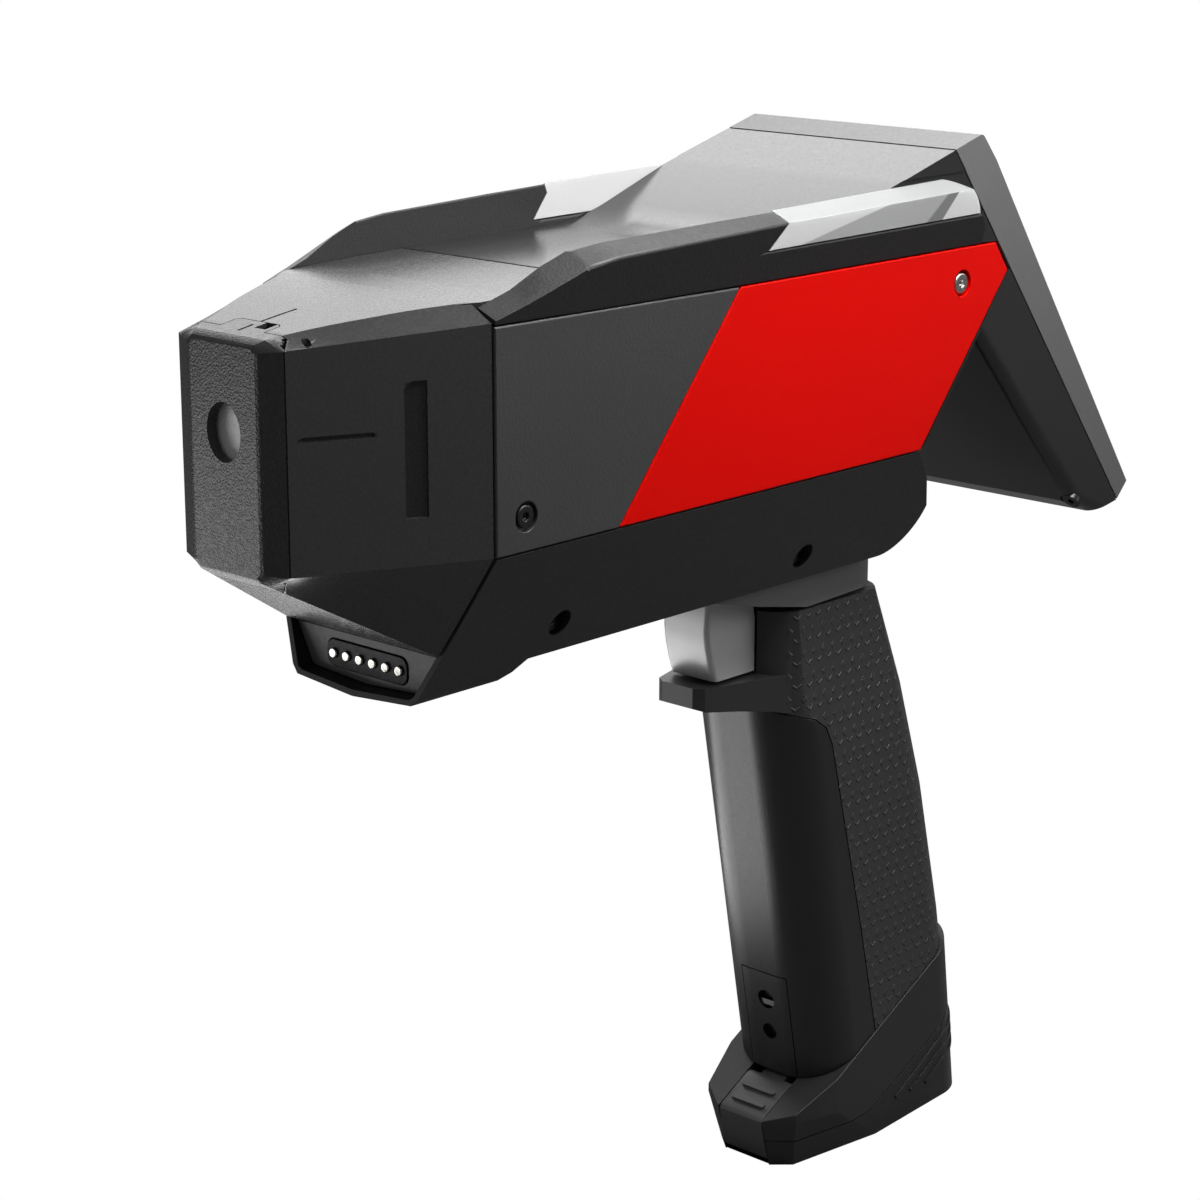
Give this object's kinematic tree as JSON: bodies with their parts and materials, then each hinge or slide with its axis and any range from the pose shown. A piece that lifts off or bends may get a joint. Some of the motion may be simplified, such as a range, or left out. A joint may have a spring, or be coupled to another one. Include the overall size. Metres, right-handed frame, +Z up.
{
  "type": "handheld xrf analyzer",
  "caption": "Pistol-shaped handheld X-ray fluorescence analyzer with a tapered measuring nose, leaning rear display, finger trigger and battery grip.",
  "frame": {"origin": "centre of the measuring window, in the plane of the nose's front face", "axes": "+X from the measuring nose to the rear, +Y to the operator's right, +Z up"},
  "size_m": [0.3141, 0.0902, 0.2991],
  "materials": {
    "charcoal": "satin, fine leather grain",
    "grey_cover": "satin, smooth",
    "black_plastic": "satin, fine grain",
    "red_panel": "satin",
    "frosted": "frosted, translucent",
    "soft_rubber": "moulded relief",
    "trigger_silver": "silver satin, fine grain",
    "window_film": "thin grey film",
    "screen_glass": "gloss black glass",
    "stainless": "turned",
    "black_steel": "black oxide",
    "bright_pins": "polished",
    "contact_metal": "bright",
    "frame_metal": "as rolled",
    "tube_metal": "turned",
    "wheel_metal": "machined",
    "board_green": "solder mask",
    "dark_parts": "matte",
    "panel_dark": "display module",
    "lamp_board": "white solder mask",
    "button": "satin"
  },
  "bodies": {
    "housing": {"accent_panel_left": "red_panel", "accent_panel_right": "red_panel", "accent_screws": "stainless", "battery_contacts": "contact_metal", "chassis": "frame_metal", "contact_block": "black_plastic", "contact_pins": "bright_pins", "contact_plate": "black_plastic", "detector": "tube_metal", "detector_cooler": "frame_metal", "display_bezel": "grey_cover", "display_board": "board_green", "display_glass": "screen_glass", "display_panel": "panel_dark", "front_cap": "charcoal", "grip_frame": "black_plastic", "grip_rubber": "soft_rubber", "grip_shell": "black_plastic", "heat_sink": "frame_metal", "lamp_strip_left": "lamp_board", "lamp_strip_right": "lamp_board", "light_guide_left": "frosted", "light_guide_right": "frosted", "lower_housing": "black_plastic", "lower_screws": "black_steel", "main_board": "board_green", "neck_collar": "black_plastic", "nose_housing": "charcoal", "power_switch": "dark_parts", "rail_left": "black_plastic", "rail_right": "black_plastic", "rear_housing": "grey_cover", "sample_camera": "dark_parts", "side_panel_left": "charcoal", "side_panel_right": "charcoal", "side_screws": "black_steel", "strap_anchor": "black_plastic", "tray_screws": "black_steel", "trigger_pin": "stainless", "trigger_spring": "stainless", "trigger_switch": "dark_parts", "tube_supply": "dark_parts", "wheel_motor": "tube_metal", "window_film": "window_film", "window_ring": "frame_metal", "xray_tube": "tube_metal"},
    "trigger": {"trigger": "trigger_silver"},
    "power_button": {"power_button": "button"},
    "filter_wheel": {"filter_wheel": "wheel_metal"},
    "battery": {"battery_pack": "black_plastic", "battery_foot": "black_plastic", "foot_base": "black_plastic", "latch_pin": "stainless"},
    "latch": {"battery_latch": "black_plastic"}
  },
  "joints": [
    {"name": "trigger_pull", "type": "hinge", "parent": "housing", "child": "trigger", "pos_m": [0.171, 0, -0.058], "axis": [0, -1, 0], "range_deg": [0, 5.5], "stiffness_Nm_per_rad": 0.9, "springref_deg": -2.86},
    {"name": "battery_slide", "type": "slide", "parent": "housing", "child": "battery", "axis": [0.1819, 0, -0.9833], "range_m": [0, 0.15]},
    {"name": "latch_press", "type": "hinge", "parent": "battery", "child": "latch", "pos_m": [0.1934, 0, -0.2416], "axis": [0, 1, 0], "range_deg": [0, 6], "stiffness_Nm_per_rad": 0.12, "springref_deg": -2.86},
    {"name": "power_press", "type": "slide", "parent": "housing", "child": "power_button", "axis": [-0.8167, 0, -0.5771], "range_m": [0, 0.0008], "stiffness_N_per_m": 2000, "springref_m": -0.0005},
    {"name": "filter_turn", "type": "hinge", "parent": "housing", "child": "filter_wheel", "pos_m": [0.01332, 0, -0.01509], "axis": [0.9272, 0, -0.3746], "continuous": true}
  ]
}
